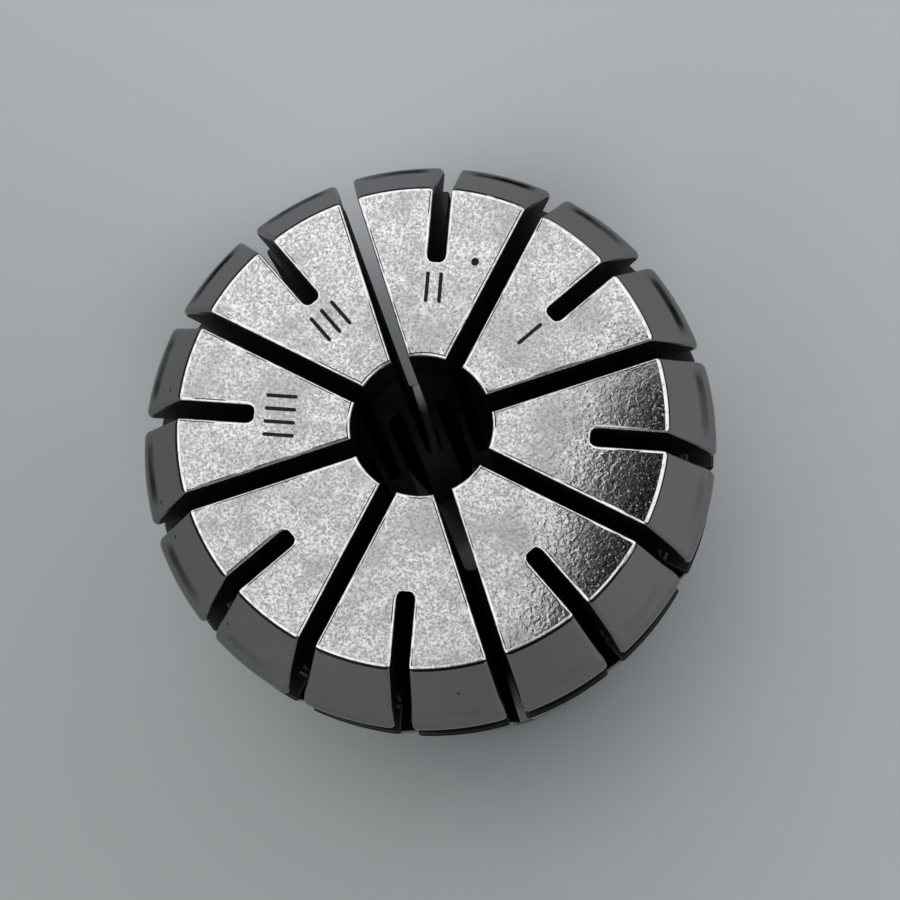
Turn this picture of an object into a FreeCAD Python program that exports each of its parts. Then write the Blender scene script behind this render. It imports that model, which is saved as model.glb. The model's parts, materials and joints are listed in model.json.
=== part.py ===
import FreeCAD, Part
import math
import os

# Spring collet of size 32 for a 7 to 8 mm shank, standing on its tail end.
# Origin at the centre of the tail end, +Z along the axis towards the face.
# Lengths in millimetres, angles in degrees.

# Outer form, from the face back to the tail
overall_length = 40.0
nose_diameter = 33.0
nose_half_angle = 30.0
shoulder_radius = 2.5
rim_land = 0.15
groove_from_face = 5.5
groove_width = 3.5
groove_diameter = 29.2
groove_root_corner = 0.3
taper_large_diameter = 32.7
taper_half_angle = 8.0

# Bore
bore_diameter = 8.0
bore_face_chamfer = 0.2
bore_tail_chamfer = 1.0

# Edge breaks of the turned form
face_edge_break = 0.12
rim_edge_break = 0.1
taper_edge_break = 0.12
tail_edge_break = 0.5

# Saw slots: one set is cut from the face, the other from the tail
slots_per_set = 8
slot_width = 1.0
saw_radius = 30.0
saw_tooth_corner = 0.2
saw_depth_into_bore = 1.0
tail_bridge = 1.5
tail_slot_exit_radius = 9.6

# Deburring along the slots
face_slot_break = 0.12
side_slot_break = 0.15
bore_slot_break = 0.08

# How far cutters run past the part
overrun = 1.0

# Sizes that follow from the ones above
bore_radius = bore_diameter / 2
nose_radius = nose_diameter / 2
groove_radius = groove_diameter / 2
nose_angle = math.radians(nose_half_angle)
taper_angle = math.radians(taper_half_angle)
groove_front_z = overall_length - groove_from_face
groove_rear_z = groove_front_z - groove_width
shoulder_centre_r = nose_radius - shoulder_radius
shoulder_centre_z = groove_front_z + rim_edge_break + rim_land
cone_end_r = shoulder_centre_r + shoulder_radius * math.cos(nose_angle)
cone_end_z = shoulder_centre_z + shoulder_radius * math.sin(nose_angle)
face_radius = cone_end_r - (overall_length - cone_end_z) * math.tan(nose_angle)
taper_radius = taper_large_diameter / 2
tail_radius = taper_radius - groove_rear_z * math.tan(taper_angle)
saw_centre_r = bore_radius - saw_depth_into_bore + saw_radius
cutter_reach = nose_radius + overrun


def at(r, z):
    """Point of the half section, r out from the axis and z up."""
    return FreeCAD.Vector(r, 0, z)


def line(start, end):
    return Part.LineSegment(start, end).toShape()


def arc(centre, radius, start_angle, end_angle):
    """Arc in the half section, angles counted from +r towards +z."""
    points = []
    for angle in (start_angle, (start_angle + end_angle) / 2, end_angle):
        points.append(centre + at(radius * math.cos(angle), radius * math.sin(angle)))
    return Part.Arc(*points).toShape()


def taper_radius_at(z):
    return tail_radius + z * math.tan(taper_angle)


def saw_rise(r):
    """Height of the saw's rim above its centre at radius r from the axis."""
    return math.sqrt(saw_radius ** 2 - (r - saw_centre_r) ** 2)


def turned_blank():
    """The collet as it leaves the lathe: one revolved section with the bore in it."""
    face_z = overall_length
    shoulder_centre = at(shoulder_centre_r, shoulder_centre_z)
    root_r = groove_radius + groove_root_corner
    before_shoulder = [
        at(bore_radius, face_z - bore_face_chamfer),
        at(bore_radius + bore_face_chamfer, face_z),
        at(face_radius - face_edge_break, face_z),
        at(face_radius + face_edge_break * math.sin(nose_angle),
           face_z - face_edge_break * math.cos(nose_angle)),
        at(cone_end_r, cone_end_z),
    ]
    after_shoulder = [
        at(nose_radius, shoulder_centre_z),
        at(nose_radius, groove_front_z + rim_edge_break),
        at(nose_radius - rim_edge_break, groove_front_z),
        at(root_r, groove_front_z),
        at(groove_radius, groove_front_z - groove_root_corner),
        at(groove_radius, groove_rear_z + groove_root_corner),
        at(root_r, groove_rear_z),
        at(taper_radius - taper_edge_break, groove_rear_z),
        at(taper_radius_at(groove_rear_z - taper_edge_break), groove_rear_z - taper_edge_break),
        at(taper_radius_at(tail_edge_break), tail_edge_break),
        at(tail_radius - tail_edge_break, 0),
        at(bore_radius + bore_tail_chamfer, 0),
        at(bore_radius, bore_tail_chamfer),
        before_shoulder[0],
    ]
    edges = [line(a, b) for a, b in zip(before_shoulder, before_shoulder[1:])]
    edges.append(arc(shoulder_centre, shoulder_radius, nose_angle, 0))
    edges += [line(a, b) for a, b in zip(after_shoulder, after_shoulder[1:])]
    section = Part.Face(Part.Wire(edges))
    return section.revolve(FreeCAD.Vector(0, 0, 0), FreeCAD.Vector(0, 0, 1), 360)


def saw_cut(centre_z, open_z, side):
    """Slab left by the saw: its disc stops at centre_z and came in from open_z.

    side is -1 where the disc's rim ends the slot below its centre, +1 above it.
    The disc's teeth have their corners broken, and so does the end of the slot.
    """
    inner_r = saw_centre_r - saw_radius
    start_angle = math.pi
    end_angle = math.pi - side * math.acos((saw_centre_r - cutter_reach) / saw_radius)
    rim = arc(at(saw_centre_r, centre_z), saw_radius, start_angle, end_angle)
    rim_end = at(cutter_reach, centre_z + side * saw_rise(cutter_reach))
    corners = [rim_end, at(cutter_reach, open_z), at(inner_r, open_z), at(inner_r, centre_z)]
    edges = [rim] + [line(a, b) for a, b in zip(corners, corners[1:])]
    section = Part.Face(Part.Wire(edges))
    section.translate(FreeCAD.Vector(0, -slot_width / 2, 0))
    slab = section.extrude(FreeCAD.Vector(0, slot_width, 0))
    rim_edges = [edge for edge in slab.Edges if isinstance(edge.Curve, Part.Circle)]
    return slab.makeChamfer(saw_tooth_corner, rim_edges)


def break_section(point, outward, size):
    """Trapezoid across a slot: both its walls lean back at 45 degrees past the edge break."""
    half = slot_width / 2
    sideways = FreeCAD.Vector(0, 1, 0)
    inner = point - outward * size
    outer = point + outward * overrun
    outer_half = half + size + overrun
    corners = [
        inner - sideways * half,
        inner + sideways * half,
        outer + sideways * outer_half,
        outer - sideways * outer_half,
    ]
    return Part.Face(Part.makePolygon(corners + corners[:1]))


def straight_break(start, end, outward, size):
    """Edge break along a straight stretch of the outline, from start to end."""
    return break_section(start, outward, size).extrude(end - start)


def shoulder_break(size):
    """Edge break round the shoulder arc."""
    centre = at(shoulder_centre_r, shoulder_centre_z)
    section = break_section(at(nose_radius, shoulder_centre_z), at(1, 0), size)
    return section.revolve(centre, FreeCAD.Vector(0, -1, 0), nose_half_angle)


def nose_breaks(face_start_r):
    """Edge breaks of a slot on the face, the nose cone, the shoulder and the rim."""
    face_corner = at(face_radius, overall_length)
    cone_end = at(cone_end_r, cone_end_z)
    cone_run = (cone_end - face_corner).normalize()
    rim_top = at(nose_radius, shoulder_centre_z)
    rim_bottom = at(nose_radius, groove_front_z - overrun)
    cone_outward = at(math.cos(nose_angle), math.sin(nose_angle))
    return [
        straight_break(at(face_start_r, overall_length), face_corner + at(overrun, 0),
                       at(0, 1), face_slot_break),
        straight_break(face_corner - cone_run * overrun, cone_end, cone_outward, side_slot_break),
        shoulder_break(side_slot_break),
        straight_break(rim_top, rim_bottom, at(1, 0), side_slot_break),
    ]


def taper_break(low_z):
    """Edge break of a slot along the taper, from the groove down to low_z."""
    outward = at(math.cos(taper_angle), -math.sin(taper_angle))
    top = at(taper_radius_at(groove_rear_z + overrun), groove_rear_z + overrun)
    return straight_break(top, at(taper_radius_at(low_z), low_z), outward, side_slot_break)


def bore_break(low_z, high_z):
    """Edge break of a slot where it opens into the bore."""
    edge_r = math.sqrt(bore_radius ** 2 - (slot_width / 2) ** 2)
    return straight_break(at(edge_r, low_z), at(edge_r, high_z), at(-1, 0), bore_slot_break)


def face_slot():
    """Slot cut from the face: through to the bore, stopping short of the tail."""
    centre_z = tail_bridge + saw_rise(taper_radius_at(tail_bridge))
    top = overall_length + overrun
    pieces = [saw_cut(centre_z, top, -1)]
    pieces += nose_breaks(bore_radius - saw_depth_into_bore)
    pieces.append(taper_break(tail_bridge))
    pieces.append(bore_break(centre_z - saw_rise(bore_radius), top))
    return pieces[0].multiFuse(pieces[1:])


def tail_slot():
    """Slot cut from the tail: its run-out leaves the bore whole near the face."""
    centre_z = overall_length - saw_rise(tail_slot_exit_radius)
    bottom = -overrun
    inner_r = bore_radius - saw_depth_into_bore
    chamfer_top = at(taper_radius_at(tail_edge_break), tail_edge_break)
    chamfer_bottom = at(tail_radius - tail_edge_break, 0)
    along = chamfer_bottom - chamfer_top
    chamfer_outward = at(-along.z, along.x).normalize()
    pieces = [saw_cut(centre_z, bottom, 1)]
    pieces += nose_breaks(tail_slot_exit_radius)
    pieces.append(taper_break(bottom))
    pieces.append(straight_break(chamfer_top, chamfer_bottom, chamfer_outward, side_slot_break))
    pieces.append(straight_break(at(inner_r, 0), at(tail_radius + overrun, 0),
                                 at(0, -1), face_slot_break))
    pieces.append(bore_break(bottom, centre_z + saw_rise(bore_radius)))
    return pieces[0].multiFuse(pieces[1:])


def pattern(cutter, first_angle):
    """Copies of a cutter spaced evenly round the axis."""
    copies = []
    for index in range(slots_per_set):
        copy = cutter.copy()
        angle = first_angle + index * 360 / slots_per_set
        copy.rotate(FreeCAD.Vector(0, 0, 0), FreeCAD.Vector(0, 0, 1), angle)
        copies.append(copy)
    return copies


def collet():
    """The whole collet: a turned blank slotted in turn from the face and from the tail."""
    half_pitch = 180 / slots_per_set
    cutters = pattern(face_slot(), 0) + pattern(tail_slot(), half_pitch)
    return turned_blank().cut(cutters)


os.makedirs("parts", exist_ok=True)
shape = collet()
if len(shape.Solids) != 1:
    raise ValueError("the collet has to be one solid")
shape.Solids[0].exportStep("parts/collet.step")
print("volume mm3", round(shape.Volume, 1), "valid", shape.isValid(), "faces", len(shape.Faces))
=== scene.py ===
import json
import math

import bmesh
import bpy
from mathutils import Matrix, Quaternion, Vector


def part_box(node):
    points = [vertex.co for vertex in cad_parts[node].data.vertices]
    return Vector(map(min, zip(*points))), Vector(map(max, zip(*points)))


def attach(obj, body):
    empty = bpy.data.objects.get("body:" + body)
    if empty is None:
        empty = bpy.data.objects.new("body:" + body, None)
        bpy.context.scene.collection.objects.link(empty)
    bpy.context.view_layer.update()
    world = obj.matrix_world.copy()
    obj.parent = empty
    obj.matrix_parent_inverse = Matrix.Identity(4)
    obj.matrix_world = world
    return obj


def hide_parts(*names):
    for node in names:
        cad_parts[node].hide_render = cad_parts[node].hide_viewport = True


bl_info = {
    "name": "Spring Collet",
    "version": (1, 0, 0),
    "blender": (4, 5, 0),
    "location": "3D View > Sidebar > Collet",
    "description": "A slotted spring collet standing on its tail end, with its studio stage",
    "category": "Add Mesh",
}

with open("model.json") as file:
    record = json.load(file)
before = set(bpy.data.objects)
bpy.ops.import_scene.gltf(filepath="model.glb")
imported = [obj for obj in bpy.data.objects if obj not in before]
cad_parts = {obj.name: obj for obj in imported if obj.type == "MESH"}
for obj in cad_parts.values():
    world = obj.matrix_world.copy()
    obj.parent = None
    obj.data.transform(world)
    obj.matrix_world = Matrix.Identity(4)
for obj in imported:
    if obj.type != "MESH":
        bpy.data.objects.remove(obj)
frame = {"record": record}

MM = 0.001

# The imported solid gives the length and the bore
cad_low, cad_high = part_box("collet")
cad_length = cad_high.z - cad_low.z
bore_mount = next(m for m in frame["record"]["mounts"] if m["name"] == "bore")
cad_bore = 2 * bore_mount["dims"]["r_mm"] * MM


def length(name, description, default):
    """A length property, its default in metres."""
    return bpy.props.FloatProperty(
        name=name, description=description, default=default, min=0.0, precision=5,
        subtype="DISTANCE", unit="LENGTH")


def angle(name, description, degrees):
    """An angle property, its default in degrees."""
    return bpy.props.FloatProperty(
        name=name, description=description, default=math.radians(degrees),
        subtype="ANGLE", unit="ROTATION")


def tint(name, description, hex_colour):
    """A colour property, its default as an sRGB hex value."""
    return bpy.props.StringProperty(name=name, description=description, default=hex_colour)


class TurnedForm(bpy.types.PropertyGroup):
    """Sizes that the lathe gives the collet."""
    overall_length: length("Length", "From the tail end to the face", cad_length)
    nose_diameter: length("Nose", "Largest diameter, at the rim", 33.0 * MM)
    nose_half_angle: angle("Nose cone", "Half angle of the nose cone", 30.0)
    shoulder_radius: length("Shoulder", "Round between nose cone and rim", 2.5 * MM)
    rim_height: length("Rim", "From the groove to the start of the shoulder", 0.25 * MM)
    groove_from_face: length("Groove depth", "From the face to the groove", 5.5 * MM)
    groove_width: length("Groove width", "Width of the extraction groove", 3.5 * MM)
    groove_diameter: length("Groove floor", "Diameter of the groove's floor", 29.2 * MM)
    groove_root: length("Groove root", "Round at the foot of the groove's walls", 0.3 * MM)
    taper_diameter: length("Taper", "Large diameter of the body taper", 32.7 * MM)
    taper_half_angle: angle("Taper angle", "Half angle of the body taper", 8.0)
    tail_chamfer: length("Tail chamfer", "Chamfer round the tail end", 0.5 * MM)
    bore_diameter: length("Bore", "Diameter of the bore", cad_bore)
    bore_face_chamfer: length("Bore, front", "Chamfer of the bore at the face", 0.12 * MM)
    bore_tail_chamfer: length("Bore, rear", "Chamfer of the bore at the tail", 1.0 * MM)


class SawSlots(bpy.types.PropertyGroup):
    """Sizes of the two sets of saw slots and of their deburred edges."""
    per_set: bpy.props.IntProperty(name="Slots a set", description="Slots cut from each end",
                                   default=8, min=2)
    width: length("Width", "Width of the saw", 1.0 * MM)
    saw_radius: length("Saw radius", "Radius of the saw's disc", 30.0 * MM)
    tooth_corner: length("Tooth corner", "Round on the corners of the saw's teeth", 0.32 * MM)
    into_bore: length("Into bore", "How far the saw reaches into the bore", 1.0 * MM)
    tail_bridge: length("Tail bridge", "Height of the wall left under a slot", 1.5 * MM)
    exit_radius: length("Run-out", "Where a slot from the tail runs out of the face", 9.6 * MM)
    edge_break: length("Edge break", "Round along the edges by hand and tumbling", 0.19 * MM)
    side_break: length("Side break", "Round along the slots on the cone and rim", 0.3 * MM)
    bore_break: length("Bore break", "Round along the slots in the bore", 0.04 * MM)


class FaceMarks(bpy.types.PropertyGroup):
    """Plain strokes burnt into the face, which number four of its segments, and a dot."""
    stroke_length: length("Length", "Length of a stroke", 1.8 * MM)
    stroke_width: length("Width", "Width of a stroke", 0.22 * MM)
    stroke_gap: length("Spacing", "From one stroke to the next", 0.75 * MM)
    radius: length("Radius", "From the axis to the middle of a stroke", 8.0 * MM)
    depth: length("Depth", "How deep the marks are burnt in", 0.03 * MM)
    dot_radius: length("Dot", "Radius of the centre-punched dot", 0.23 * MM)


class Finishes(bpy.types.PropertyGroup):
    """Colours of the steel and of the stage, as sRGB hex values."""
    satin: tint("Satin face", "Tumbled steel of the face", "#F0F2F2")
    speck: tint("Specks", "Fine specks pitted into the face", "#5A5A5A")
    ground: tint("Ground", "Ground steel of the cone, taper and bore", "#878785")
    # The turned colour is darkened with painted shade, for the groove
    turned: tint("Turned", "Turned steel of the groove and tail", "#323231")
    rubbed: tint("Rubbed edges", "Bright steel where edges are rubbed", "#F2F2F1")
    # The oxide colour is painted shade, for the dark lines along the face's rounded edges
    oxide: tint("Oxide", "Dark line left at the foot of the face's rubbed edge", "#262625")
    sawn: tint("Sawn", "Dark skin on the sawn walls of the slots", "#434342")
    # The run-out colour is painted light; the marks' colour stands in as its painted shade further in
    run_out: tint("Run-out", "Bright end of a slot, where the saw ran out", "#A2A2A0")
    mark: tint("Marks", "Burnt marks on the face", "#101010")
    floor: tint("Floor", "Pale floor where it is brightest", "#B9BEC3")
    shade: tint("Floor shade", "Pale floor where it is darkest", "#A3AAAA")


def linear(hex_colour):
    """Linear RGBA of an sRGB hex value."""
    channels = [int(hex_colour[i:i + 2], 16) / 255 for i in (1, 3, 5)]
    return [c / 12.92 if c <= 0.04045 else ((c + 0.055) / 1.055) ** 2.4 for c in channels] + [1.0]


def dimmed(colour, share):
    """A linear colour at this share of its brightness."""
    return [share * channel for channel in colour[:3]] + [1.0]


def grey(level):
    """A neutral linear colour."""
    return [level, level, level, 1.0]


def add_node(tree, kind, settings=None, inputs=None):
    """Adds a node with its settings and links.

    An input takes a value, an output, or a node, which gives its first output in use.
    """
    node = tree.nodes.new(kind)
    for name, value in (settings or {}).items():
        setattr(node, name, value)
    for name, value in (inputs or {}).items():
        if isinstance(value, bpy.types.Node):
            value = next(output for output in value.outputs if output.enabled)
        if isinstance(value, bpy.types.NodeSocket):
            tree.links.new(value, node.inputs[name])
        else:
            node.inputs[name].default_value = value
    return node


# Settings that many nodes share, and the inputs of a Mix node that mixes colours
SMOOTH = {"interpolation_type": "SMOOTHSTEP"}
COLOURS = {"data_type": "RGBA"}
TIMES = {"operation": "MULTIPLY"}
TIMES_PLUS = {"operation": "MULTIPLY_ADD"}
SHARE, FIRST, SECOND = 0, 6, 7


def new_material(name):
    """An empty node material and its Object coordinates."""
    material = bpy.data.materials.new(name)
    material.use_nodes = True
    material.node_tree.nodes.clear()
    place = add_node(material.node_tree, "ShaderNodeTexCoord")
    return material, material.node_tree, place.outputs["Object"]


def between(tree, value, low, high, blur):
    """1 where the value lies between low and high, 0 outside, with blurred ends."""
    enter = add_node(tree, "ShaderNodeMapRange", SMOOTH,
                     {"Value": value, "From Min": low - blur, "From Max": low + blur})
    leave = add_node(tree, "ShaderNodeMapRange", SMOOTH,
                     {"Value": value, "From Min": high - blur, "From Max": high + blur,
                      "To Min": 1.0, "To Max": 0.0})
    return add_node(tree, "ShaderNodeMath", TIMES, {0: enter, 1: leave})


def per_metre(millimetres):
    """Scale of a texture whose features are that many millimetres across."""
    return 1.0 / (millimetres * MM)


def satin_face_steel(colour, speck_colour):
    """Hardened steel, tumbled after grinding: bright, with a fine peel that breaks up reflections."""
    material, tree, place = new_material("tumbled_satin_steel")
    # Tumbling leaves a peel of some hundredths of a millimetre, too fine to show, so it is drawn coarser
    peel = add_node(tree, "ShaderNodeTexNoise",
                    inputs={"Vector": place, "Scale": per_metre(0.15), "Detail": 2.0, "Roughness": 0.65})
    pits = add_node(tree, "ShaderNodeTexNoise",
                    inputs={"Vector": place, "Scale": per_metre(0.16), "Detail": 3.0, "Roughness": 0.65})
    pit_depth = add_node(tree, "ShaderNodeMapRange", SMOOTH,
                         {"Value": pits, "From Min": 0.62, "From Max": 0.8})
    # Dents as the tumbling stones leave them, a third of a millimetre across
    dents = add_node(tree, "ShaderNodeTexNoise",
                     inputs={"Vector": place, "Scale": per_metre(0.34), "Detail": 1.5, "Distortion": 0.8})
    peeled = add_node(tree, "ShaderNodeBump",
                      inputs={"Height": peel, "Strength": 1.0, "Distance": 0.00025 * MM})
    dented = add_node(tree, "ShaderNodeBump",
                      inputs={"Height": dents, "Strength": 1.0, "Distance": 0.0021 * MM, "Normal": peeled})
    pitted = add_node(tree, "ShaderNodeBump",
                      inputs={"Height": pit_depth, "Strength": 1.0, "Distance": 0.0025 * MM,
                              "Normal": dented})
    # Duller clouds a few millimetres across, where the tumbling reached less
    cloud = add_node(tree, "ShaderNodeTexNoise",
                     inputs={"Vector": place, "Scale": per_metre(2.6), "Detail": 5.0, "Roughness": 0.65})
    gloss = add_node(tree, "ShaderNodeMapRange",
                     inputs={"Value": cloud, "From Min": 0.35, "From Max": 0.65,
                             "To Min": 0.03, "To Max": 0.055})
    cloudy = add_node(tree, "ShaderNodeMapRange", SMOOTH,
                      {"Value": cloud, "From Min": 0.4, "From Max": 0.64, "To Min": 0.0, "To Max": 0.75})
    bright = linear(colour)
    dull = dimmed(bright, 0.5)
    base = add_node(tree, "ShaderNodeMix", COLOURS, {SHARE: cloudy, FIRST: bright, SECOND: dull})
    scuffs = add_node(tree, "ShaderNodeTexNoise",
                      inputs={"Vector": place, "Scale": per_metre(0.55), "Detail": 2.0, "Distortion": 1.6})
    scuffed = add_node(tree, "ShaderNodeMapRange", SMOOTH,
                       {"Value": scuffs, "From Min": 0.5, "From Max": 0.68, "To Min": 0.0, "To Max": 0.55})
    base = add_node(tree, "ShaderNodeMix", COLOURS, {SHARE: scuffed, FIRST: base, SECOND: dull})
    freckled = add_node(tree, "ShaderNodeMapRange", SMOOTH,
                        {"Value": peel, "From Min": 0.32, "From Max": 0.68, "To Min": 0.0, "To Max": 1.0})
    base = add_node(tree, "ShaderNodeMix", COLOURS,
                    {SHARE: freckled, FIRST: base, SECOND: dimmed(bright, 0.38)})
    cells = add_node(tree, "ShaderNodeTexVoronoi", inputs={"Vector": place, "Scale": per_metre(0.34)})
    specked = add_node(tree, "ShaderNodeMapRange", SMOOTH,
                       {"Value": cells, "From Min": 0.1, "From Max": 0.24, "To Min": 0.55, "To Max": 0.0})
    base = add_node(tree, "ShaderNodeMix", COLOURS,
                    {SHARE: specked, FIRST: base, SECOND: linear(speck_colour)})
    steel = add_node(tree, "ShaderNodeBsdfPrincipled",
                     inputs={"Base Color": base, "Metallic": 1.0, "Roughness": gloss, "Normal": pitted})
    add_node(tree, "ShaderNodeOutputMaterial", inputs={"Surface": steel})
    return material


# Dull dark band where each finger's cone turns into its shoulder
DARK_BAND_LOW = 36.1 * MM
DARK_BAND_HIGH = 36.8 * MM
FINGERS = 16

# Painted highlight: a brighter band along the rim, just over the groove
RIM_HIGHLIGHT_LOW = 34.4 * MM
RIM_HIGHLIGHT_HIGH = 34.95 * MM


def finger_dark_band(tree, axes, place):
    """How much of the dull band shows: most in the middle of a finger, and hardly at the front."""
    band = between(tree, axes.outputs["Z"], DARK_BAND_LOW, DARK_BAND_HIGH, 0.22 * MM)
    turn = add_node(tree, "ShaderNodeMath", {"operation": "ARCTAN2"},
                    {0: axes.outputs["Y"], 1: axes.outputs["X"]})
    turns = add_node(tree, "ShaderNodeMath", TIMES, {0: turn, 1: FINGERS})
    finger = add_node(tree, "ShaderNodeMath", {"operation": "COSINE"}, {0: turns})
    middle = add_node(tree, "ShaderNodeMapRange", SMOOTH,
                      {"Value": finger, "From Min": 0.7, "From Max": -0.3})
    back = add_node(tree, "ShaderNodeMapRange", SMOOTH,
                    {"Value": axes.outputs["Y"], "From Min": -12 * MM, "From Max": 4 * MM,
                     "To Min": 0.1, "To Max": 1.0})
    uneven = add_node(tree, "ShaderNodeTexNoise",
                      inputs={"Vector": place, "Scale": per_metre(4.0), "Detail": 3.0})
    taken = add_node(tree, "ShaderNodeMapRange", SMOOTH,
                     {"Value": uneven, "From Min": 0.3, "From Max": 0.6, "To Min": 0.35, "To Max": 1.0})
    dark_band = band
    for share in (middle, back, taken):
        dark_band = add_node(tree, "ShaderNodeMath", TIMES, {0: dark_band, 1: share})
    return dark_band


def ground_steel(colour):
    """Ground steel of the cone and taper: smooth and darker, with faint lines round the axis."""
    material, tree, place = new_material("ground_steel")
    # The wheel's grit leaves lines of some hundredths of a millimetre, drawn coarser so that they show
    round_axis = add_node(tree, "ShaderNodeMapping", inputs={"Vector": place, "Scale": (0.06, 0.06, 1.0)})
    lines = add_node(tree, "ShaderNodeTexNoise",
                     inputs={"Vector": round_axis, "Scale": per_metre(0.12), "Detail": 2.0})
    lined = add_node(tree, "ShaderNodeBump",
                     inputs={"Height": lines, "Strength": 1.0, "Distance": 0.0006 * MM})
    bare = linear(colour)
    base = add_node(tree, "ShaderNodeMix", COLOURS,
                    {SHARE: lines, FIRST: dimmed(bare, 0.88), SECOND: dimmed(bare, 1.12)})
    axes = add_node(tree, "ShaderNodeSeparateXYZ", inputs={"Vector": place})
    # The rim's band is painted brighter: a painted highlight
    rim_highlight = between(tree, axes.outputs["Z"], RIM_HIGHLIGHT_LOW, RIM_HIGHLIGHT_HIGH, 0.15 * MM)
    base = add_node(tree, "ShaderNodeMix", COLOURS, {SHARE: rim_highlight, FIRST: base, SECOND: dimmed(bare, 1.8)})
    nicks = add_node(tree, "ShaderNodeTexVoronoi", inputs={"Vector": place, "Scale": per_metre(2.4)})
    nicked = add_node(tree, "ShaderNodeMapRange", SMOOTH,
                      {"Value": nicks, "From Min": 0.03, "From Max": 0.06, "To Min": 0.8, "To Max": 0.0})
    darkened = add_node(tree, "ShaderNodeMath", {"operation": "MAXIMUM"},
                      {0: finger_dark_band(tree, axes, place), 1: nicked})
    base = add_node(tree, "ShaderNodeMix", COLOURS,
                    {SHARE: darkened, FIRST: base, SECOND: dimmed(bare, 0.22)})
    # Seen along its surface a metal takes this colour, so it darkens where the steel is darkened
    glance = add_node(tree, "ShaderNodeMix", COLOURS, {SHARE: darkened, FIRST: grey(0.65), SECOND: grey(0.3)})
    steel = add_node(tree, "ShaderNodeBsdfPrincipled",
                     inputs={"Base Color": base, "Metallic": 1.0, "Roughness": 0.22,
                             "Specular Tint": glance, "Normal": lined})
    add_node(tree, "ShaderNodeOutputMaterial", inputs={"Surface": steel})
    return material


def rubbed_steel(colour):
    """Bright steel along the deburred edges, where tumbling and hands have rubbed it."""
    material, tree, place = new_material("rubbed_bright_steel")
    nicks = add_node(tree, "ShaderNodeTexNoise",
                     inputs={"Vector": place, "Scale": per_metre(0.35), "Detail": 3.0, "Roughness": 0.6})
    nicked = add_node(tree, "ShaderNodeBump",
                      inputs={"Height": nicks, "Strength": 1.0, "Distance": 0.02 * MM})
    worn = add_node(tree, "ShaderNodeMapRange", SMOOTH,
                    {"Value": nicks, "From Min": 0.45, "From Max": 0.7})
    bright = linear(colour)
    base = add_node(tree, "ShaderNodeMix", COLOURS,
                    {SHARE: worn, FIRST: bright, SECOND: dimmed(bright, 0.6)})
    steel = add_node(tree, "ShaderNodeBsdfPrincipled",
                     inputs={"Base Color": base, "Metallic": 1.0, "Roughness": 0.2, "Normal": nicked})
    add_node(tree, "ShaderNodeOutputMaterial", inputs={"Surface": steel})
    return material


def painted_shade_line(colour, steel_colour):
    """Painted shade: a dark line along the face's outer round, over all the round on the left and on its
    steeper strips only towards the right.
    """
    material, tree, place = new_material("painted_shade_line")
    axes = add_node(tree, "ShaderNodeSeparateXYZ", inputs={"Vector": place})
    patches = add_node(tree, "ShaderNodeTexNoise",
                       inputs={"Vector": place, "Scale": per_metre(0.8), "Detail": 3.0})
    # This share lightens the painted shade towards the right; it is not wear
    right = add_node(tree, "ShaderNodeMath", TIMES_PLUS, {0: patches, 1: 8 * MM, 2: axes.outputs["X"]})
    worn = add_node(tree, "ShaderNodeMapRange", SMOOTH,
                    {"Value": right, "From Min": 12 * MM, "From Max": 15 * MM})
    surface = add_node(tree, "ShaderNodeNewGeometry")
    lie = add_node(tree, "ShaderNodeSeparateXYZ", inputs={"Vector": surface.outputs["Normal"]})
    flat = add_node(tree, "ShaderNodeMapRange", SMOOTH,
                    {"Value": lie.outputs["Z"], "From Min": 0.72, "From Max": 0.84})
    shown = add_node(tree, "ShaderNodeMath", TIMES, {0: worn, 1: flat})
    base = add_node(tree, "ShaderNodeMix", COLOURS,
                    {SHARE: shown, FIRST: linear(colour), SECOND: linear(steel_colour)})
    steel = add_node(tree, "ShaderNodeBsdfPrincipled",
                     inputs={"Base Color": base, "Metallic": 1.0, "Roughness": 0.3})
    add_node(tree, "ShaderNodeOutputMaterial", inputs={"Surface": steel})
    return material


def painted_shade_trace(colour, steel_colour):
    """Painted shade: a broken dark line where the face meets the rubbed edge of a slot."""
    material, tree, place = new_material("painted_shade_trace")
    patches = add_node(tree, "ShaderNodeTexNoise",
                       inputs={"Vector": place, "Scale": per_metre(2.5), "Detail": 3.0})
    dark = add_node(tree, "ShaderNodeMapRange", SMOOTH,
                    {"Value": patches, "From Min": 0.42, "From Max": 0.52})
    base = add_node(tree, "ShaderNodeMix", COLOURS,
                    {SHARE: dark, FIRST: linear(steel_colour), SECOND: linear(colour)})
    steel = add_node(tree, "ShaderNodeBsdfPrincipled",
                     inputs={"Base Color": base, "Metallic": 1.0, "Roughness": 0.3})
    add_node(tree, "ShaderNodeOutputMaterial", inputs={"Surface": steel})
    return material


def turned_steel(colour):
    """Steel left from the lathe in the groove and at the tail: dull, with its tool marks, and dark with
    painted shade.
    """
    material, tree, place = new_material("turned_steel")
    # The tool moved on 0.2 mm a turn
    round_axis = add_node(tree, "ShaderNodeMapping", inputs={"Vector": place, "Scale": (0.1, 0.1, 1.0)})
    lines = add_node(tree, "ShaderNodeTexNoise",
                     inputs={"Vector": round_axis, "Scale": per_metre(0.2), "Detail": 2.0})
    lined = add_node(tree, "ShaderNodeBump",
                     inputs={"Height": lines, "Strength": 1.0, "Distance": 0.002 * MM})
    steel = add_node(tree, "ShaderNodeBsdfPrincipled",
                     inputs={"Base Color": linear(colour), "Metallic": 1.0, "Roughness": 0.35,
                             "Specular Tint": grey(0.3), "Normal": lined})
    add_node(tree, "ShaderNodeOutputMaterial", inputs={"Surface": steel})
    return material


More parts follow.
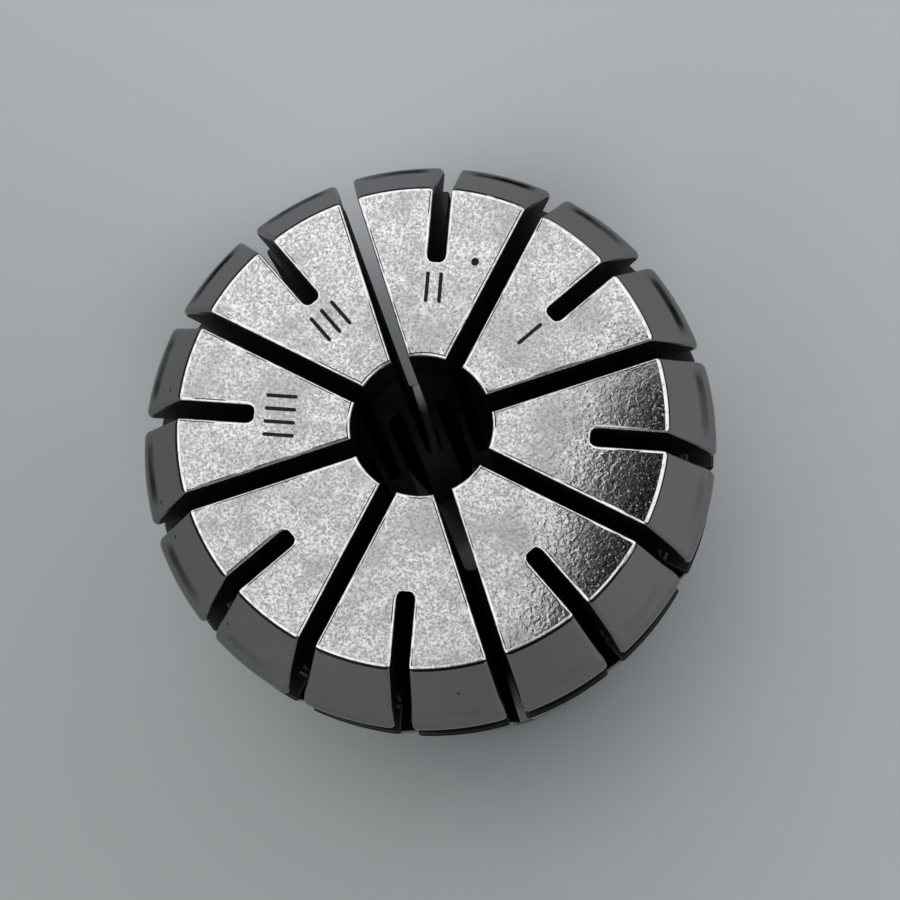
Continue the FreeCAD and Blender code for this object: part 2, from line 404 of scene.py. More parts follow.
def sawn_steel(colour):
    """Sawn walls of the slots under their hardening skin: rough, with painted shade that makes them black
    below the groove.
    """
    material, tree, place = new_material("sawn_scaled_steel")
    # The saw's teeth leave finer scratches than these, which are drawn coarser so that they show
    upright = add_node(tree, "ShaderNodeMapping", inputs={"Vector": place, "Scale": (1.0, 1.0, 0.08)})
    scratches = add_node(tree, "ShaderNodeTexNoise",
                         inputs={"Vector": upright, "Scale": per_metre(0.3), "Detail": 3.0})
    scratched = add_node(tree, "ShaderNodeBump",
                         inputs={"Height": scratches, "Strength": 1.0, "Distance": 0.01 * MM})
    scale = linear(colour)
    base = add_node(tree, "ShaderNodeMix", COLOURS,
                    {SHARE: scratches, FIRST: dimmed(scale, 0.3), SECOND: dimmed(scale, 1.6)})
    axes = add_node(tree, "ShaderNodeSeparateXYZ", inputs={"Vector": place})
    # Painted shade: below the groove the walls darken to near black, deep in the slots
    above_painted_shade = add_node(tree, "ShaderNodeMapRange", SMOOTH,
                     {"Value": axes.outputs["Z"], "From Min": 30 * MM, "From Max": 33 * MM})
    base = add_node(tree, "ShaderNodeMix", COLOURS,
                    {SHARE: above_painted_shade, FIRST: dimmed(scale, 0.2), SECOND: base})
    glance = add_node(tree, "ShaderNodeMix", COLOURS, {SHARE: above_painted_shade, FIRST: grey(0.15), SECOND: grey(0.5)})
    steel = add_node(tree, "ShaderNodeBsdfPrincipled",
                     inputs={"Base Color": base, "Metallic": 1.0, "Roughness": 0.45,
                             "Specular Tint": glance, "Normal": scratched})
    add_node(tree, "ShaderNodeOutputMaterial", inputs={"Surface": steel})
    return material


def run_out_steel(colour, painted_shade_colour):
    """End of a slot where the saw ran out: streaked, with painted light that makes it bright at the wall,
    and painted shade that makes it black further in.
    """
    material, tree, place = new_material("sawn_run_out_steel")
    along_slot = add_node(tree, "ShaderNodeMapping", inputs={"Vector": place, "Scale": (1.0, 0.1, 0.1)})
    streaks = add_node(tree, "ShaderNodeTexNoise",
                       inputs={"Vector": along_slot, "Scale": per_metre(0.25), "Detail": 2.0})
    axes = add_node(tree, "ShaderNodeSeparateXYZ", inputs={"Vector": place})
    height = add_node(tree, "ShaderNodeMath", TIMES_PLUS, {0: streaks, 1: 1.0 * MM, 2: axes.outputs["Z"]})
    # Painted shade above a few millimetres, painted light below, mixed with the streaks
    painted_shade_in = add_node(tree, "ShaderNodeMapRange", SMOOTH,
                      {"Value": height, "From Min": 3.0 * MM, "From Max": 5.6 * MM})
    base = add_node(tree, "ShaderNodeMix", COLOURS,
                    {SHARE: painted_shade_in, FIRST: linear(colour), SECOND: linear(painted_shade_colour)})
    steel = add_node(tree, "ShaderNodeBsdfPrincipled",
                     inputs={"Base Color": base, "Metallic": 1.0, "Roughness": 0.5})
    add_node(tree, "ShaderNodeOutputMaterial", inputs={"Surface": steel})
    return material


def burnt_mark(colour):
    """Marks burnt into the face: matt black oxide."""
    material, tree, place = new_material("burnt_mark")
    soot = add_node(tree, "ShaderNodeTexNoise",
                    inputs={"Vector": place, "Scale": per_metre(0.15), "Detail": 2.0})
    gloss = add_node(tree, "ShaderNodeMapRange", inputs={"Value": soot, "To Min": 0.45, "To Max": 0.8})
    oxide = add_node(tree, "ShaderNodeBsdfPrincipled",
                     inputs={"Base Color": linear(colour), "Roughness": gloss, "Specular IOR Level": 0.25})
    add_node(tree, "ShaderNodeOutputMaterial", inputs={"Surface": oxide})
    return material


# The floor's soft shade reaches this far from the collet's axis, and this far behind it
FOOT_REACH = 23 * MM
BEHIND_REACH = 31 * MM


def foot_shade(tree, axes):
    """Share of the floor's colour that is left in the soft shade at the collet's foot."""
    flat = add_node(tree, "ShaderNodeCombineXYZ", inputs={"X": axes.outputs["X"], "Y": axes.outputs["Y"]})
    distance = add_node(tree, "ShaderNodeVectorMath", {"operation": "LENGTH"}, {0: flat})
    foot = add_node(tree, "ShaderNodeMapRange", SMOOTH,
                    {"Value": distance, "From Min": 10 * MM, "From Max": FOOT_REACH,
                     "To Min": 0.68, "To Max": 1.0})
    deep = add_node(tree, "ShaderNodeMapRange", SMOOTH,
                    {"Value": axes.outputs["Y"], "From Min": 17 * MM, "From Max": BEHIND_REACH,
                     "To Min": 0.64, "To Max": 0.0})
    past_axis = add_node(tree, "ShaderNodeMapRange", SMOOTH,
                         {"Value": axes.outputs["Y"], "From Min": 4 * MM, "From Max": 14 * MM})
    behind = between(tree, axes.outputs["X"], -14 * MM, 14 * MM, 8 * MM)
    for share in (past_axis, deep):
        behind = add_node(tree, "ShaderNodeMath", TIMES, {0: behind, 1: share})
    left = add_node(tree, "ShaderNodeMath", {"operation": "SUBTRACT"}, {0: 1.0, 1: behind})
    return add_node(tree, "ShaderNodeMath", TIMES, {0: foot, 1: left})


def pale_floor(colour, shade_colour):
    """Matt painted board, with painted shade that makes it a little darker towards the front left."""
    material, tree, place = new_material("pale_floor")
    axes = add_node(tree, "ShaderNodeSeparateXYZ", inputs={"Vector": place})
    # Painted shade: the board darkens towards the front left
    ahead = add_node(tree, "ShaderNodeMath", TIMES_PLUS,
                     {0: axes.outputs["Y"], 1: 0.6, 2: axes.outputs["X"]})
    painted_shade_fade = add_node(tree, "ShaderNodeMapRange", SMOOTH,
                    {"Value": ahead, "From Min": -60 * MM, "From Max": 50 * MM})
    board = add_node(tree, "ShaderNodeMix", COLOURS,
                     {SHARE: painted_shade_fade, FIRST: linear(shade_colour), SECOND: linear(colour)})
    base = add_node(tree, "ShaderNodeMix", {"data_type": "RGBA", "blend_type": "MULTIPLY"},
                    {SHARE: 1.0, FIRST: board, SECOND: foot_shade(tree, axes)})
    paint = add_node(tree, "ShaderNodeBsdfPrincipled", inputs={"Base Color": base, "Roughness": 0.6})
    add_node(tree, "ShaderNodeOutputMaterial", inputs={"Surface": paint})
    return material


def start(add, name, **settings):
    """Adds a primitive with nothing else selected, and puts its place in its mesh."""
    if bpy.context.object and bpy.context.object.mode != "OBJECT":
        bpy.ops.object.mode_set(mode="OBJECT")
    bpy.ops.object.select_all(action="DESELECT")
    add(**settings)
    bpy.ops.object.transform_apply(location=True, rotation=True, scale=True)
    piece = bpy.context.object
    piece.name = name
    return piece


def only(*pieces):
    """Selects these pieces alone. The first is active."""
    bpy.ops.object.select_all(action="DESELECT")
    for piece in pieces:
        piece.select_set(True)
    bpy.context.view_layer.objects.active = pieces[0]


def pick(piece, kind, wanted):
    """In edit mode, selects the edges or faces that wanted accepts, and nothing else."""
    bpy.ops.mesh.select_mode(type=kind)
    bpy.ops.mesh.select_all(action="DESELECT")
    mesh = bmesh.from_edit_mesh(piece.data)
    found = [part for part in (mesh.edges if kind == "EDGE" else mesh.faces) if wanted(part)]
    if not found:
        raise RuntimeError(f"no {kind.lower()} of {piece.name} is where it should be")
    for part in found:
        part.select_set(True)
    bmesh.update_edit_mesh(piece.data)


def assign(piece, material, wanted):
    """Gives the wanted faces of the piece this material, which it already has in a slot."""
    piece.active_material_index = piece.data.materials.find(material.name)
    bpy.ops.object.mode_set(mode="EDIT")
    pick(piece, "FACE", wanted)
    bpy.ops.object.material_slot_assign()
    bpy.ops.object.mode_set(mode="OBJECT")


def copied(piece):
    """A copy of the piece with its own mesh."""
    copy = piece.copy()
    copy.data = piece.data.copy()
    bpy.context.scene.collection.objects.link(copy)
    return copy


# Places nearer than this are the same
NEAR = 0.002 * MM

ROUND_SEGMENTS = 160
SHOULDER_SEGMENTS = 8
ROOT_SEGMENTS = 4


def groove_heights(form):
    """Heights of the groove's front and rear walls."""
    front = form.overall_length - form.groove_from_face
    return front, front - form.groove_width


def taper_radius(form, height):
    """Radius of the body taper at this height."""
    front, rear = groove_heights(form)
    return form.taper_diameter / 2 - (rear - height) * math.tan(form.taper_half_angle)


def round_ring(piece, radius, height, offset, segments):
    """Bevels the corner ring at this radius and height."""
    def on_ring(edge):
        return all(abs(v.co.xy.length - radius) < NEAR and abs(v.co.z - height) < NEAR for v in edge.verts)

    pick(piece, "EDGE", on_ring)
    bpy.ops.mesh.bevel(offset_type="OFFSET", offset=offset, segments=segments, profile=0.5,
                       affect="EDGES", clamp_overlap=False)


def turned_blank(form):
    """The blank from the lathe: a circle drawn out ring by ring along the section, and closed."""
    face_z = form.overall_length
    bore_r = form.bore_diameter / 2
    nose_r = form.nose_diameter / 2
    root_r = form.groove_diameter / 2
    tail_r = taper_radius(form, 0.0)
    groove_front, groove_rear = groove_heights(form)
    tangent = form.shoulder_radius * math.tan(form.nose_half_angle / 2)
    corner_z = groove_front + form.rim_height + tangent
    face_r = nose_r - (face_z - corner_z) * math.tan(form.nose_half_angle)
    rings = [(bore_r, 0.0), (tail_r, 0.0), (form.taper_diameter / 2, groove_rear), (root_r, groove_rear),
             (root_r, groove_front), (nose_r, groove_front), (nose_r, corner_z),
             (face_r, face_z), (bore_r, face_z)]
    blank = start(bpy.ops.mesh.primitive_circle_add, "collet_body", vertices=ROUND_SEGMENTS,
                  radius=bore_r, rotation=(0, 0, math.pi / ROUND_SEGMENTS))
    bpy.ops.object.mode_set(mode="EDIT")
    bpy.ops.mesh.select_all(action="SELECT")
    for (radius, height), (next_radius, next_height) in zip(rings, rings[1:] + rings[:1]):
        bpy.ops.mesh.extrude_region_move(TRANSFORM_OT_translate={"value": (0, 0, next_height - height)})
        growth = next_radius / radius
        bpy.ops.transform.resize(value=(growth, growth, 1), center_override=(0, 0, next_height))
    bpy.ops.mesh.select_all(action="SELECT")
    bpy.ops.mesh.remove_doubles(threshold=NEAR)
    bpy.ops.mesh.select_all(action="SELECT")
    bpy.ops.mesh.normals_make_consistent(inside=False)
    round_ring(blank, nose_r, corner_z, tangent, SHOULDER_SEGMENTS)
    round_ring(blank, root_r, groove_front, form.groove_root, ROOT_SEGMENTS)
    round_ring(blank, root_r, groove_rear, form.groove_root, ROOT_SEGMENTS)
    round_ring(blank, tail_r, 0.0, form.tail_chamfer, 1)
    round_ring(blank, bore_r, 0.0, form.bore_tail_chamfer, 1)
    round_ring(blank, bore_r, face_z, form.bore_face_chamfer, 1)
    bpy.ops.object.mode_set(mode="OBJECT")
    return blank


SAW_SEGMENTS = 256

# How far the saw passes the end that it enters
OVERRUN = 1.0 * MM


def saw_centre_radius(form, slots):
    """How far the centre of the saw's disc lies from the collet's axis."""
    return form.bore_diameter / 2 - slots.into_bore + slots.saw_radius


def saw_rise(form, slots, radius):
    """Height of the disc's rim over its centre at this radius from the collet's axis."""
    return math.sqrt(slots.saw_radius ** 2 - (radius - saw_centre_radius(form, slots)) ** 2)


def saw_cutter(form, slots, name, centre_z, open_z):
    """The saw's disc with its teeth's corners rounded, and the slot drawn out behind it."""
    centre = Vector((saw_centre_radius(form, slots), 0, centre_z))
    side = math.copysign(1.0, open_z - centre_z)
    cutter = start(bpy.ops.mesh.primitive_cylinder_add, name, vertices=SAW_SEGMENTS,
                   radius=slots.saw_radius, depth=slots.width, location=centre,
                   rotation=(math.pi / 2, 0, 0))
    bpy.ops.object.mode_set(mode="EDIT")
    pick(cutter, "EDGE", lambda edge: abs(edge.verts[0].co.y - edge.verts[1].co.y) < NEAR)
    bpy.ops.mesh.bevel(offset_type="OFFSET", offset=slots.tooth_corner, segments=3, profile=0.5,
                       affect="EDGES", clamp_overlap=False)
    bpy.ops.mesh.select_all(action="SELECT")
    bpy.ops.mesh.bisect(plane_co=centre, plane_no=(0, 0, side), clear_outer=True, use_fill=True)
    pick(cutter, "FACE", lambda face: abs(face.normal.z) > 0.99
         and abs(face.calc_center_median().z - centre_z) < NEAR)
    bpy.ops.mesh.extrude_region_move(TRANSFORM_OT_translate={"value": (0, 0, open_z - centre_z)})
    bpy.ops.mesh.select_all(action="SELECT")
    bpy.ops.mesh.normals_make_consistent(inside=False)
    bpy.ops.object.mode_set(mode="OBJECT")
    return cutter


def around(piece, count, first_angle):
    """The piece's copies spaced evenly round the axis. The piece itself goes."""
    copies = []
    for index in range(count):
        copy = copied(piece)
        copy.rotation_euler = (0, 0, first_angle + index * 2 * math.pi / count)
        copies.append(copy)
    bpy.data.objects.remove(piece)
    return copies


def slot_cutters(form, slots, sawn, run_out):
    """All saw cuts: one set from the face, the other from the tail, half a pitch apart."""
    bridge_r = taper_radius(form, slots.tail_bridge)
    face_centre_z = slots.tail_bridge + saw_rise(form, slots, bridge_r)
    tail_centre_z = form.overall_length - saw_rise(form, slots, slots.exit_radius)
    face_saw = saw_cutter(form, slots, "face_saw", face_centre_z, form.overall_length + OVERRUN)
    tail_saw = saw_cutter(form, slots, "tail_saw", tail_centre_z, -OVERRUN)
    for saw in (face_saw, tail_saw):
        saw.data.materials.append(sawn)
    face_saw.data.materials.append(run_out)
    only(face_saw)
    assign(face_saw, run_out, lambda face: abs(face.normal.y) < 0.5 and face.normal.z < -0.1)
    return (around(face_saw, slots.per_set, 0.0)
            + around(tail_saw, slots.per_set, math.pi / slots.per_set))


MARKED_SEGMENTS = 4

# Headings in degrees from +X, and the place of the punched dot
FIRST_HEADING = 22.5
SEGMENT_PITCH = 45.0
DOT_X = 5.75 * MM
DOT_Y = 8.05 * MM

# Radius of the punch's ball over the dot's
PUNCH_SHARE = 1.35


def mark_cutters(form, marks, ink):
    """Rounded strokes that number four segments from one to four, and a datum dot."""
    face_z = form.overall_length
    stroke = start(bpy.ops.mesh.primitive_cube_add, "stroke", size=1.0,
                   location=(marks.radius, 0, face_z),
                   scale=(marks.stroke_length, marks.stroke_width, 2 * marks.depth))
    bpy.ops.object.mode_set(mode="EDIT")
    pick(stroke, "EDGE", lambda edge: abs(edge.verts[0].co.z - edge.verts[1].co.z) > marks.depth)
    bpy.ops.mesh.bevel(offset_type="OFFSET", offset=0.49 * marks.stroke_width, segments=5,
                       profile=0.5, affect="EDGES", clamp_overlap=False)
    bpy.ops.object.mode_set(mode="OBJECT")
    stroke.data.materials.append(ink)
    cutters = []
    for number in range(1, MARKED_SEGMENTS + 1):
        heading = math.radians(FIRST_HEADING + (number - 1) * SEGMENT_PITCH)
        for index in range(number):
            copy = copied(stroke)
            shift = (index - (number - 1) / 2) * marks.stroke_gap
            copy.location = Quaternion((0, 0, 1), heading) @ Vector((0, shift, 0))
            copy.rotation_euler = (0, 0, heading)
            cutters.append(copy)
    bpy.data.objects.remove(stroke)
    ball_r = PUNCH_SHARE * marks.dot_radius
    ball_rise = math.sqrt(ball_r ** 2 - marks.dot_radius ** 2)
    dot = start(bpy.ops.mesh.primitive_uv_sphere_add, "dot", segments=32, ring_count=24, radius=ball_r,
                location=(DOT_X, DOT_Y, face_z + ball_rise))
    dot.data.materials.append(ink)
    return cutters + [dot]


def cut(piece, cutters):
    """Cuts all cutters out of the piece at once. The cut faces take the cutters' materials."""
    only(*cutters)
    bpy.ops.object.join()
    tool = bpy.context.object
    only(piece)
    bpy.ops.object.modifier_add(type="BOOLEAN")
    boolean = piece.modifiers[-1]
    boolean.operation = "DIFFERENCE"
    boolean.solver = "EXACT"
    boolean.material_mode = "TRANSFER"
    boolean.object = tool
    bpy.ops.object.modifier_apply(modifier=boolean.name)
    bpy.data.objects.remove(tool)


# An outside edge that turns more than this is broken
SHARP_TURN = math.radians(40)

# The cut leaves edges that turn less than this on flat faces, and they go first
NO_TURN = math.radians(0.05)

BREAK_SEGMENTS = 5


def break_size(form, slots, edge):
    """Size of the round along an edge: least in the bore, most down the slots on the nose."""
    groove_front, groove_rear = groove_heights(form)
    bore_reach = form.bore_diameter / 2 + form.bore_face_chamfer + NEAR
    low, high = sorted(v.co.z for v in edge.verts)
    if all(v.co.xy.length < bore_reach for v in edge.verts):
        return slots.edge_break / 2 if low > form.overall_length - NEAR else slots.bore_break
    if low > groove_front - NEAR and high - low > NEAR:
        return slots.side_break
    return slots.edge_break


def round_edges(piece, form, slots, skin):
    """Rounds the sharp outside edges. The new faces take the skin."""
    only(piece)
    bpy.ops.object.mode_set(mode="EDIT")
    bpy.ops.mesh.select_all(action="SELECT")
    bpy.ops.mesh.dissolve_limited(angle_limit=NO_TURN, delimit={"MATERIAL"})
    mesh = bmesh.from_edit_mesh(piece.data)
    weight = mesh.edges.layers.float.get("bevel_weight_edge")
    if weight is None:
        weight = mesh.edges.layers.float.new("bevel_weight_edge")
    for edge in mesh.edges:
        if len(edge.link_faces) == 2 and edge.is_convex and edge.calc_face_angle() >= SHARP_TURN:
            edge[weight] = break_size(form, slots, edge) / slots.side_break
    bmesh.update_edit_mesh(piece.data)
    bpy.ops.object.mode_set(mode="OBJECT")
    bpy.ops.object.modifier_add(type="BEVEL")
    bevel = piece.modifiers[-1]
    bevel.limit_method = "WEIGHT"
    bevel.width = slots.side_break
    bevel.segments = BREAK_SEGMENTS
    bevel.profile = 0.5
    bevel.material = piece.data.materials.find(skin.name)
    bevel.use_clamp_overlap = False
    bpy.ops.object.modifier_apply(modifier=bevel.name)


def outward(face):
    """How far a face looks away from the axis, 1 where it looks straight out."""
    return face.normal.xy.dot(face.calc_center_median().xy.normalized())


# Reach of the rounds at the groove: down the taper from it, up the rim, and along its walls
DOWN_TAPER = 0.3 * MM
UP_RIM = 0.3 * MM
WALL_FOOT = 0.35 * MM
SLOT_CORNER = 0.6 * MM


def finish_breaks(piece, form, slots, steels):
    """Sorts the new rounds: rubbed at the face with lines of painted shade, plain or dark elsewhere."""
    rubbed = piece.data.materials.find(steels["rubbed"].name)
    ground = piece.data.materials.find(steels["ground"].name)
    rubbed_low = form.overall_length - 1.3 * slots.edge_break
    groove_front, groove_rear = groove_heights(form)
    root_r = form.groove_diameter / 2

    def lies(face, low, high, inner, outer):
        """True where the face's middle lies between these heights and these radii."""
        middle = face.calc_center_median()
        return low < middle.z < high and inner < middle.xy.length < outer

    assign(piece, steels["ground"], lambda face: face.material_index == rubbed
           and face.calc_center_median().z < rubbed_low)
    # Rounds in the groove take the turned steel with its painted shade
    assign(piece, steels["turned"], lambda face: face.material_index == ground
           and lies(face, groove_rear - DOWN_TAPER, groove_front - NEAR,
                    root_r + WALL_FOOT, form.nose_diameter))
    assign(piece, steels["sawn"], lambda face: face.material_index == ground
           and lies(face, groove_rear - SLOT_CORNER, groove_front + UP_RIM,
                    root_r - SLOT_CORNER, root_r + WALL_FOOT))
    # Rounds on the face's outer edge and along its slots take dark lines of painted shade
    assign(piece, steels["line"], lambda face: face.material_index == rubbed
           and face.normal.z < 0.9 and outward(face) > 0.35)
    assign(piece, steels["trace"], lambda face: face.material_index == rubbed
           and face.normal.z > 0.95 and outward(face) < 0.05)


# Faces that turn less than this from each other are shaded as one
SMOOTH_TURN = math.radians(34)


def shade(piece):
    """Smooth shading that keeps large faces flat and corners crisp."""
    only(piece)
    bpy.ops.object.shade_smooth_by_angle(angle=SMOOTH_TURN)
    bpy.ops.object.modifier_add(type="WEIGHTED_NORMAL")
    weighted = piece.modifiers[-1]
    weighted.keep_sharp = True
    weighted.weight = 80
    bpy.ops.object.modifier_apply(modifier=weighted.name)


def all_steels(finishes):
    """Every material of the collet, by the name of its finish."""
    return {
        "satin": satin_face_steel(finishes.satin, finishes.speck),
        "ground": ground_steel(finishes.ground),
        "turned": turned_steel(finishes.turned),
        "rubbed": rubbed_steel(finishes.rubbed),
        "line": painted_shade_line(finishes.oxide, finishes.rubbed),
        "trace": painted_shade_trace(finishes.oxide, finishes.rubbed),
        "sawn": sawn_steel(finishes.sawn),
        # The run-out's painted shade further in takes the marks' colour
        "run_out": run_out_steel(finishes.run_out, finishes.mark),
        "ink": burnt_mark(finishes.mark),
    }


class COLLET_OT_body(bpy.types.Operator):
    """Turn the blank, saw its slots, deburr it and mark its face"""
    bl_idname = "collet.body"
    bl_label = "Collet Body"

    def execute(self, context):
        form = context.scene.collet_form
        slots = context.scene.collet_slots
        steels = all_steels(context.scene.collet_finishes)
        body = turned_blank(form)
        for finish in ("ground", "satin", "turned"):
            body.data.materials.append(steels[finish])
        face_z = form.overall_length
        groove_front, groove_rear = groove_heights(form)
        assign(body, steels["satin"], lambda face: face.normal.z > 0.9
               and face.calc_center_median().z > face_z - NEAR)
        # The groove and the faces that look down take the turned steel with its painted shade
        assign(body, steels["turned"], lambda face: face.normal.z < -0.5
               or groove_rear - NEAR < face.calc_center_median().z < groove_front + NEAR)
        cut(body, slot_cutters(form, slots, steels["sawn"], steels["run_out"]))
        for finish in ("rubbed", "line", "trace"):
            body.data.materials.append(steels[finish])
        round_edges(body, form, slots, steels["rubbed"])
        finish_breaks(body, form, slots, steels)
        cut(body, mark_cutters(form, context.scene.collet_marks, steels["ink"]))
        shade(body)
        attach(body, "root")
        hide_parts("collet")
        return {"FINISHED"}


# Light of the sky from the horizon, where the rise is 0, to straight above, where it is 1
SKY_PEAK = 1.22
SKY_STOPS = ((0.0, 0.27), (0.2, 0.41), (0.45, 0.9), (0.9, 0.9), (0.945, 1.0), (0.985, 0.76), (1.0, 0.76))

# Share of the sky's light that is missing towards the front, from a little off straight above
FRONT_LOSS = 0.85

# A dark board hangs over the collet, with a fainter wing. A place in the sky is its run along
# these two headings for each unit of rise. The face mirrors the board's sharp left edge.
BOARD_ACROSS = (0.817, -0.576)
BOARD_ALONG = (0.576, 0.817)
BOARD_LEFT, BOARD_RIGHT = -0.099, 0.11
BOARD_NEAR, BOARD_FAR = 0.04, 0.235
BOARD_MIDDLE_LEFT = -0.09
WING_LEFT, WING_RIGHT = 0.05, 2.0
WING_NEAR, WING_FAR = -1.5, 0.2


def stops(ramp, levels):
    """Sets a colour ramp to these grey levels, each at its place."""
    while len(ramp.elements) > 1:
        ramp.elements.remove(ramp.elements[-1])
    for index, (place, level) in enumerate(levels):
        element = ramp.elements[0] if index == 0 else ramp.elements.new(place)
        element.position = place
        element.color = grey(level)


def open_sky(tree, axes):
    """Light of the sky in a direction: a soft dome, with less of it towards the front."""
    rise = axes.outputs["Z"]
    dome = add_node(tree, "ShaderNodeValToRGB", inputs={"Fac": rise})
    stops(dome.color_ramp, SKY_STOPS)
    rise_squared = add_node(tree, "ShaderNodeMath", {"operation": "POWER"}, {0: rise, 1: 2.0})
    run_squared = add_node(tree, "ShaderNodeMath", {"operation": "SUBTRACT"}, {0: 1.0001, 1: rise_squared})
    run = add_node(tree, "ShaderNodeMath", {"operation": "SQRT"}, {0: run_squared})
    back = add_node(tree, "ShaderNodeMath", {"operation": "DIVIDE"}, {0: axes.outputs["Y"], 1: run})
    front = add_node(tree, "ShaderNodeMapRange", SMOOTH,
                     {"Value": back, "From Min": -0.99, "From Max": -0.81, "To Min": 1.0, "To Max": 0.0})
    aside = add_node(tree, "ShaderNodeMapRange", SMOOTH,
                     {"Value": run, "From Min": 0.13, "From Max": 0.27})
    dimmer = add_node(tree, "ShaderNodeMath", TIMES, {0: front, 1: aside})
    left = add_node(tree, "ShaderNodeMath", TIMES_PLUS, {0: dimmer, 1: -FRONT_LOSS, 2: 1.0})
    light = add_node(tree, "ShaderNodeMath", TIMES, {0: dome, 1: left})
    return add_node(tree, "ShaderNodeMath", TIMES, {0: light, 1: SKY_PEAK})


def slope(tree, axes, heading):
    """Sideways run of a direction for each unit of rise, along a heading."""
    run_x = add_node(tree, "ShaderNodeMath", TIMES, {0: axes.outputs["X"], 1: heading[0]})
    run = add_node(tree, "ShaderNodeMath", TIMES_PLUS, {0: axes.outputs["Y"], 1: heading[1], 2: run_x})
    rise = add_node(tree, "ShaderNodeMath", {"operation": "MAXIMUM"}, {0: axes.outputs["Z"], 1: 0.01})
    return add_node(tree, "ShaderNodeMath", {"operation": "DIVIDE"}, {0: run, 1: rise})


def dark_board(tree, axes):
    """Share of the light that the dark board keeps off in a direction."""
    across = slope(tree, axes, BOARD_ACROSS)
    along = slope(tree, axes, BOARD_ALONG)
    edge = between(tree, across, BOARD_LEFT, BOARD_RIGHT, 0.005)
    middle = between(tree, across, BOARD_MIDDLE_LEFT, BOARD_RIGHT, 0.012)
    edge_share = add_node(tree, "ShaderNodeMath", TIMES, {0: edge, 1: 0.84})
    board = add_node(tree, "ShaderNodeMath", TIMES_PLUS, {0: middle, 1: 0.15, 2: edge_share})
    board = add_node(tree, "ShaderNodeMath", TIMES,
                     {0: board, 1: between(tree, along, BOARD_NEAR, BOARD_FAR, 0.012)})
    wing = add_node(tree, "ShaderNodeMath", TIMES,
                    {0: between(tree, across, WING_LEFT, WING_RIGHT, 0.1),
                     1: between(tree, along, WING_NEAR, WING_FAR, 0.04)})
    wing = add_node(tree, "ShaderNodeMath", TIMES, {0: wing, 1: 0.15})
    both = add_node(tree, "ShaderNodeMath", {"operation": "MAXIMUM"}, {0: board, 1: wing})
    overhead = add_node(tree, "ShaderNodeMapRange", SMOOTH,
                        {"Value": axes.outputs["Z"], "From Min": 0.4, "From Max": 0.6})
    return add_node(tree, "ShaderNodeMath", TIMES, {0: both, 1: overhead})


def studio_world():
    """The world: the open sky, with the dark board hung in it."""
    world = bpy.data.worlds.new("studio")
    world.use_nodes = True
    tree = world.node_tree
    tree.nodes.clear()
    direction = add_node(tree, "ShaderNodeTexCoord").outputs["Generated"]
    axes = add_node(tree, "ShaderNodeSeparateXYZ", inputs={"Vector": direction})
    passed = add_node(tree, "ShaderNodeMath", {"operation": "SUBTRACT"}, {0: 1.0, 1: dark_board(tree, axes)})
    light = add_node(tree, "ShaderNodeMath", TIMES, {0: passed, 1: open_sky(tree, axes)})
    sky = add_node(tree, "ShaderNodeBackground", inputs={"Color": grey(1.0), "Strength": light})
    add_node(tree, "ShaderNodeOutputWorld", inputs={"Surface": sky})
    return world


FLOOR_SIZE = 3.0

# The camera stands where the photograph was taken from. The roll is in degrees, the lens in millimetres.
CAMERA_PLACE = (2.75 * MM, -44.741 * MM, 224.656 * MM)
CAMERA_AIM = (1.112 * MM, -1.888 * MM, 40.0 * MM)
CAMERA_ROLL = -20.223
CAMERA_LENS = 135.6
CAMERA_SENSOR = 36.0


def photo_camera():
    """The camera at the photograph's place, linked to no scene yet."""
    lens = bpy.data.cameras.new("camera")
    lens.lens = CAMERA_LENS
    lens.sensor_width = CAMERA_SENSOR
    lens.clip_start = 1.0 * MM
    camera = bpy.data.objects.new("camera", lens)
    camera.location = CAMERA_PLACE
    gaze = (Vector(CAMERA_AIM) - Vector(CAMERA_PLACE)).to_track_quat("-Z", "Y")
    camera.rotation_mode = "QUATERNION"
    camera.rotation_quaternion = gaze @ Quaternion((0, 0, 1), math.radians(CAMERA_ROLL))
    return camera


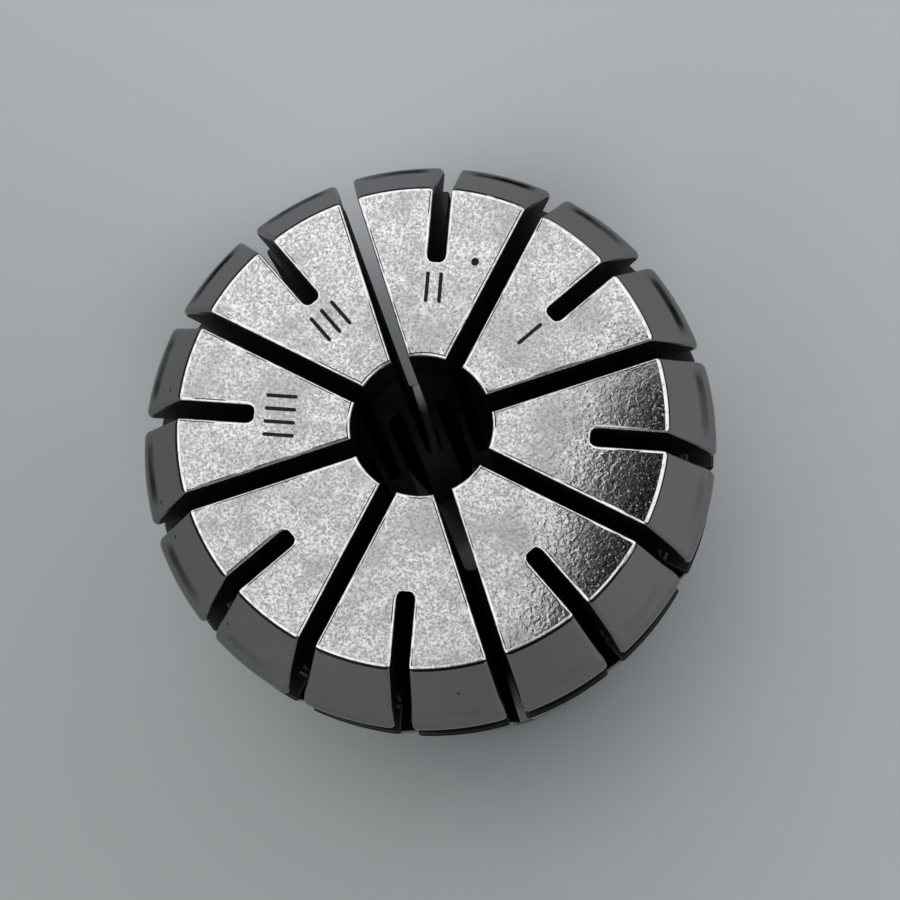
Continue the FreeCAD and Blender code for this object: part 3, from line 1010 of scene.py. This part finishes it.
class COLLET_OT_stage(bpy.types.Operator):
    """Lay the floor, set the light and place the camera"""
    bl_idname = "collet.stage"
    bl_label = "Stage"

    def execute(self, context):
        finishes = context.scene.collet_finishes
        floor = start(bpy.ops.mesh.primitive_plane_add, "floor", size=FLOOR_SIZE)
        floor.data.materials.append(pale_floor(finishes.floor, finishes.shade))
        context.scene.world = studio_world()
        camera = photo_camera()
        context.scene.collection.objects.link(camera)
        context.scene.camera = camera
        context.scene.view_settings.view_transform = "Standard"
        return {"FINISHED"}


class COLLET_PT_panel(bpy.types.Panel):
    """Sizes, finishes and the pieces of the collet"""
    bl_idname = "COLLET_PT_panel"
    bl_label = "Collet"
    bl_space_type = "VIEW_3D"
    bl_region_type = "UI"
    bl_category = "Collet"

    def draw(self, context):
        scene = context.scene
        for group in (scene.collet_form, scene.collet_slots, scene.collet_marks, scene.collet_finishes):
            box = self.layout.box()
            for name in group.__annotations__:
                box.prop(group, name)
        self.layout.operator(COLLET_OT_body.bl_idname)
        self.layout.operator(COLLET_OT_stage.bl_idname)


CLASSES = (TurnedForm, SawSlots, FaceMarks, Finishes, COLLET_OT_body, COLLET_OT_stage, COLLET_PT_panel)


def register():
    """Registers the classes and gives the scene its groups of properties."""
    for kind in CLASSES:
        bpy.utils.register_class(kind)
    bpy.types.Scene.collet_form = bpy.props.PointerProperty(type=TurnedForm)
    bpy.types.Scene.collet_slots = bpy.props.PointerProperty(type=SawSlots)
    bpy.types.Scene.collet_marks = bpy.props.PointerProperty(type=FaceMarks)
    bpy.types.Scene.collet_finishes = bpy.props.PointerProperty(type=Finishes)


def unregister():
    """Takes away what register added, in the opposite order."""
    del bpy.types.Scene.collet_finishes
    del bpy.types.Scene.collet_marks
    del bpy.types.Scene.collet_slots
    del bpy.types.Scene.collet_form
    for kind in reversed(CLASSES):
        bpy.utils.unregister_class(kind)


def main():
    """Registers the add-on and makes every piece."""
    register()
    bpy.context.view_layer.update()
    bpy.ops.collet.body()
    bpy.ops.collet.stage()


if __name__ == "__main__":
    main()
